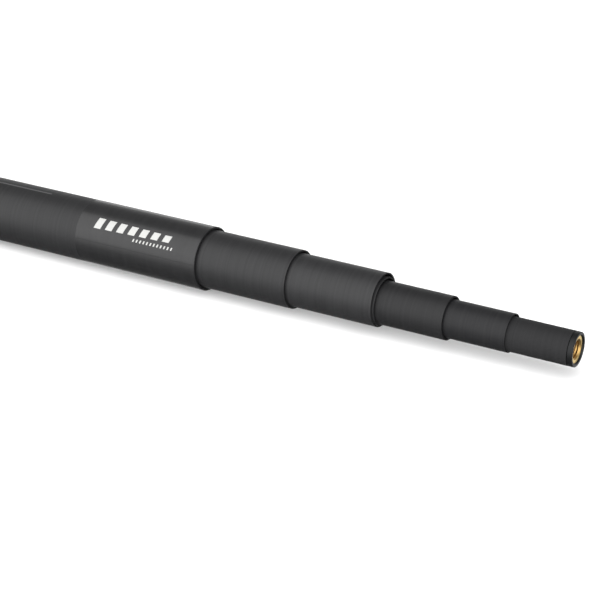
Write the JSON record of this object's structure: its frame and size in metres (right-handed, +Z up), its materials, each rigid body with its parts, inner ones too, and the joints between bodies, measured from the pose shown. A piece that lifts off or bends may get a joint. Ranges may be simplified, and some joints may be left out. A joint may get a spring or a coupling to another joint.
{
  "type": "telescopic pole",
  "caption": "Telescopic carbon pole with plain friction-fit sections that slide out of each other, a screw cap at the butt and a brass threaded socket at the tip.",
  "frame": {"origin": "on the butt tube's axis, at the rear face of the butt cap", "axes": "+X along the pole towards the tip, +Z up with the pole lying on its side"},
  "size_m": [1, 0.0342, 0.0344],
  "materials": {
    "butt_carbon": "wound carbon fibre, satin",
    "section_carbon": "wound carbon fibre, matt",
    "film": "clear glossy film over carbon",
    "anodised": "black anodised, satin",
    "ferrule": "black anodised, turned",
    "rubber": "matt",
    "foam": "closed-cell foam",
    "brass": "turned and tapped"
  },
  "bodies": {
    "butt": {"butt_tube": "butt_carbon", "label_film": "film", "cap_bush": "anodised"},
    "cap_slide": {"cap_pad": "foam"},
    "cap": {"butt_cap": "anodised", "cap_grip": "rubber", "cap_o_ring": "rubber"},
    "section_2": {"section_2_tube": "section_carbon"},
    "section_3": {"section_3_tube": "section_carbon"},
    "section_4": {"section_4_tube": "section_carbon"},
    "section_5": {"section_5_tube": "section_carbon"},
    "section_6": {"section_6_tube": "section_carbon"},
    "tip": {"tip_tube": "section_carbon", "tip_ferrule": "ferrule", "thread_insert": "brass"}
  },
  "joints": [
    {"name": "section_2_slide", "type": "slide", "parent": "butt", "child": "section_2", "axis": [1, 0, 0], "range_m": [0, 0.7131]},
    {"name": "section_3_slide", "type": "slide", "parent": "section_2", "child": "section_3", "axis": [1, 0, 0.0002], "range_m": [0, 0.7657]},
    {"name": "section_4_slide", "type": "slide", "parent": "section_3", "child": "section_4", "axis": [1, 0, 0.0007], "range_m": [0, 0.8165]},
    {"name": "section_5_slide", "type": "slide", "parent": "section_4", "child": "section_5", "axis": [1, 0, 0.0007], "range_m": [0, 0.8174]},
    {"name": "section_6_slide", "type": "slide", "parent": "section_5", "child": "section_6", "axis": [1, 0, 0.0002], "range_m": [0, 0.8559]},
    {"name": "tip_slide", "type": "slide", "parent": "section_6", "child": "tip", "axis": [1, 0, 0.0004], "range_m": [0, 0.8908]},
    {"name": "cap_travel", "type": "slide", "parent": "butt", "child": "cap_slide", "axis": [-1, 0, 0], "range_m": [0, 0.0105]},
    {"name": "cap_turn", "type": "hinge", "parent": "cap_slide", "child": "cap", "pos_m": [0.006, 0, 0], "axis": [-1, 0, 0], "range_deg": [0, 2520]}
  ],
  "couplings": [
    {"joint": "cap_turn", "follows": "cap_travel", "rad_per_m": 4188.8}
  ]
}
